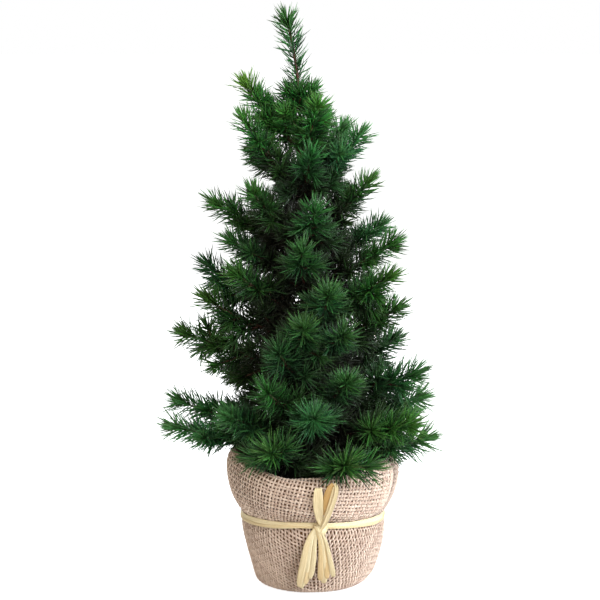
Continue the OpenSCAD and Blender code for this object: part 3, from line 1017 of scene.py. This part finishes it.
# Strips of the bow's two loops: stops of the path, widths along it in mm, share of gold, and cup.
LOOPS = (
    (((0.6, 5.6, 0.5), (-1.6, 8.4, 7), (-3.3, 13, 15), (-4.1, 17, 23), (-4.3, 18.9, 29.6),
      (-4.2, 18.8, 33), (-3.6, 16.6, 32.6), (-3.1, 14.2, 23), (-1.4, 8.6, 10), (0.4, 4.2, 1)),
     (2.6, 5.6, 7.2, 7.6, 6.8, 5.2, 5.4, 5.4, 4.2, 2.4), 0.22, 0.08),
    # The right loop's back half: mostly gold, partly the raffia's own tone and partly painted shade on the
    # loop's inner face.
    (((-0.4, 4.4, 0.5), (0.8, 7.6, 7), (2, 12.2, 16), (3.7, 15.8, 26), (5.6, 17.8, 33), (7.3, 18.4, 36.5)),
     (2.4, 4.6, 6.6, 7.2, 6, 3.4), 0.9, 0.03),
    (((0.2, 6.2, -1.5), (2.8, 9.8, 5), (5.6, 14.2, 14), (8.4, 18.2, 25), (9.6, 19.6, 33), (8.2, 18.9, 37)),
     (2.6, 3.2, 3.2, 3, 2.8, 2.2), 0.16, 0.2),
    (((0, 6, 1), (1.9, 9.8, 8), (3.9, 13.8, 16), (6.2, 17.4, 27), (7.6, 18.9, 34)),
     (1.4, 1.9, 2.1, 1.8, 1.3), 0.3, 0.1),
)

# Short strips wound over the knot: stops of the path, and share of gold.
WRAPS = (
    (((-3.8, 1.4, 2.4), (-0.6, 5.4, 1.2), (2.6, 5.2, 0), (4.4, 1.4, -0.4)), 0.35),
    (((-5, 1.6, 2), (-2.2, 6.2, -0.6), (0.9, 6.4, -4), (2.2, 4.4, -7.6)), 0.08),
    (((4.4, 1.8, 0.6), (3, 6.4, -1.6), (0.9, 6.8, -4.6), (-0.2, 4.6, -7)), 0.05),
)


def bow():
    """Knot with two loops standing up in front of the cloth."""
    rng = default_rng(47)
    strips = []
    for stops, widths, gold, cup in LOOPS:
        path = knot_path(stops)
        side = np.tile(RIGHT + 0.12 * OUTWARD, (len(path), 1))
        strips.append(strip(path, side, taper(len(path), widths), rng, cup, gold))
    for stops, gold in WRAPS:
        path = knot_path(stops, per=8)
        side = np.cross(unit(np.gradient(path, axis=0)), OUTWARD)
        strips.append(strip(path, side, taper(len(path), (2.4, 3.6, 3.4, 2.6)), rng, 0.22, gold))
    place(join("raffia_bow_strips", strips, RAFFIA), "base", "raffia", "raffia_bow")


def tail(node, stops, widths, strands, seed):
    """A hanging end of raffia that splits into strands. Each strand is its place across the whole from -0.5
    to 0.5, its share of the width and of the length, gold, and how far it spreads at its end in mm."""
    rng = default_rng(seed)
    whole = knot_path(stops)
    along = np.linspace(0, 1, len(whole))
    total = taper(len(whole), widths)
    strips = []
    for k, (place_across, wide, share, gold, splay) in enumerate(strands):
        keep = max(6, int(len(whole) * share))
        t, w = along[:keep], total[:keep]
        shift = place_across * w + splay * np.clip((t - 0.55) / 0.45, 0, 1) ** 1.5
        lift = 0.35 * (k % 2) + 0.5 * np.sin(3 * t + 2 * k) * t
        path = whole[:keep] + RIGHT * shift[:, None] + OUTWARD * lift[:, None]
        side = RIGHT + (0.35 * math.sin(2.1 * k + 0.5) * t)[:, None] * OUTWARD
        end = 0.55 + 0.45 * np.clip((t[-1] - t) / 0.05, 0, 1)
        strips.append(strip(path, side, w * wide * end, rng, 0.06, gold, ribs=7, pale=TAIL_PALE))
    place(join(node + "_strands", strips, RAFFIA), "base", "raffia", node)


def raffia():
    """The tie: band, bow and two tails."""
    band()
    bow()
    tail("raffia_tail_left",
         ((-1, 3.8, 0.5), (-5.4, 5, -4), (-8.2, 4.8, -14), (-9.4, 2.8, -25), (-10.8, -0.4, -36),
          (-13.4, -4.6, -50)),
         (3.4, 5.2, 8.8, 10.8, 11.2, 8.6),
         ((-0.34, 0.46, 0.99, 0.25, 0), (-0.08, 0.5, 1, 0.05, 0.2), (0.18, 0.46, 0.97, 0.4, 0.2),
          (0.38, 0.34, 0.91, 0.12, 0.4)), 61)
    tail("raffia_tail_right",
         ((-4.4, 2.8, 1), (-2.2, 5.8, -2.6), (1, 5.8, -11), (2.9, 4.2, -22), (4.3, 1.2, -34),
          (5.6, -2.8, -46)),
         (2.8, 3.8, 6.4, 8.6, 11, 12.4),
         ((-0.38, 0.38, 0.96, 0.5, -0.5), (-0.14, 0.44, 1, 0.2, -0.6), (0.08, 0.38, 0.95, 0.6, -0.6),
          (0.36, 0.38, 0.93, 0.15, 1.2)), 67)


# ---- carried-over CAD nodes

# Plain stuffs: name, noise scale, dark and light tone, lowest and highest roughness, bump depth in metres.
STUFFS = {
    "pot": ("pot_plastic", 300.0, srgb(20, 17, 15), srgb(38, 33, 29), (0.4, 0.6), 0.0001),
    "cement_weight": ("cast_cement", 120.0, srgb(60, 56, 50), srgb(112, 106, 98), (0.8, 1.0), 0.0012),
    "base_disc": ("felt_disc", 600.0, srgb(96, 78, 58), srgb(140, 116, 90), (0.9, 1.0), 0.0006),
}


def dress_nodes():
    """Materials for the CAD nodes that are shown as they are."""
    looks = {node: speckled_material(*stuff) for node, stuff in STUFFS.items()}
    looks["trunk_wrap"] = TAPE
    looks["trunk_rod"] = steel_material()
    for node, material in looks.items():
        mesh = frame["nodes"][node].data
        mesh.materials.clear()
        mesh.materials.append(material)


# ---- stage

AIM = Vector((-0.0085, 0, 0.2235))
CAMERA_ELEVATION = math.radians(8)
CAMERA_DISTANCE = 1.5
WIDTH_AT_AIM = 0.465  # how much of the scene the picture is wide, at the tree
WHITE = (1, 1, 1, 1)


def surroundings():
    """White for the camera, and a dimmer even light for everything else."""
    world = bpy.data.worlds.new("studio")
    SCENE.world = world
    world.use_nodes = True
    nodes, links = world.node_tree.nodes, world.node_tree.links
    seen = nodes.new("ShaderNodeLightPath").outputs["Is Camera Ray"]
    level = nodes.new("ShaderNodeMapRange")
    level.inputs["To Min"].default_value = 0.3
    links.new(seen, level.inputs["Value"])
    links.new(level.outputs["Result"], nodes["Background"].inputs["Strength"])
    nodes["Background"].inputs["Color"].default_value = WHITE


def pale_floor():
    """Wide floor that glows for the camera only, so that it fades into the surroundings."""
    n = Nodes("pale_floor")
    grain = n.noise(3.0)
    colour = n.ramp(grain, (0.3, (0.8, 0.8, 0.8)), (0.7, (0.84, 0.84, 0.84)))
    n.finish(colour, n.spread(grain, 0.8, 0.9))
    n.bsdf.inputs["Emission Color"].default_value = WHITE
    seen = n.add("ShaderNodeLightPath").outputs["Is Camera Ray"]
    n.link(n.spread(seen, 0.0, 0.9), n.bsdf.inputs["Emission Strength"])
    corners = 30.0 * np.array([(-1, -1, 0), (1, -1, 0), (1, 1, 0), (-1, 1, 0)])
    make_object("floor", corners, np.array([[0, 1, 2, 3]]), n.material)


def aimed(name, data, place_at, target):
    """Object for a lamp or camera, turned towards a point."""
    obj = bpy.data.objects.new(name, data)
    SCENE.collection.objects.link(obj)
    obj.location = place_at
    obj.rotation_euler = (Vector(target) - obj.location).to_track_quat("-Z", "Y").to_euler()
    return obj


def lamp(name, place_at, target, size, power, colour):
    """Soft round lamp: size in metres, power in watts."""
    data = bpy.data.lights.new(name, "AREA")
    data.color = colour
    data.shape = "DISK"
    data.size = size
    data.energy = power
    aimed(name, data, place_at, target)


def camera():
    """Camera in front of the tree and a little above it."""
    data = bpy.data.cameras.new("camera")
    data.lens = data.sensor_width * CAMERA_DISTANCE / WIDTH_AT_AIM
    outward = Vector((0, -math.cos(CAMERA_ELEVATION), math.sin(CAMERA_ELEVATION)))
    SCENE.camera = aimed("camera", data, AIM + outward * CAMERA_DISTANCE, AIM)


def stage():
    """Floor, surroundings, soft light mostly from the upper right, and the camera."""
    SCENE.view_settings.view_transform = "Standard"
    surroundings()
    pale_floor()
    lamp("key", (0.8, -1.1, 1.1), (0, 0, 0.2), 0.6, 28, (0.92, 0.97, 1.0))
    lamp("front", (-0.6, -1.5, 0.6), (0, 0, 0.15), 0.8, 9, (1.0, 0.9, 0.7))
    lamp("right", (1.3, -0.2, 0.3), (0, 0, 0.1), 0.6, 18, (0.86, 0.92, 1.0))
    lamp("back", (-0.8, 1.5, 0.9), (0, 0, 0.2), 0.8, 16, (0.95, 0.98, 1.0))
    camera()


foliage()
burlap()
raffia()
dress_nodes()
stage()
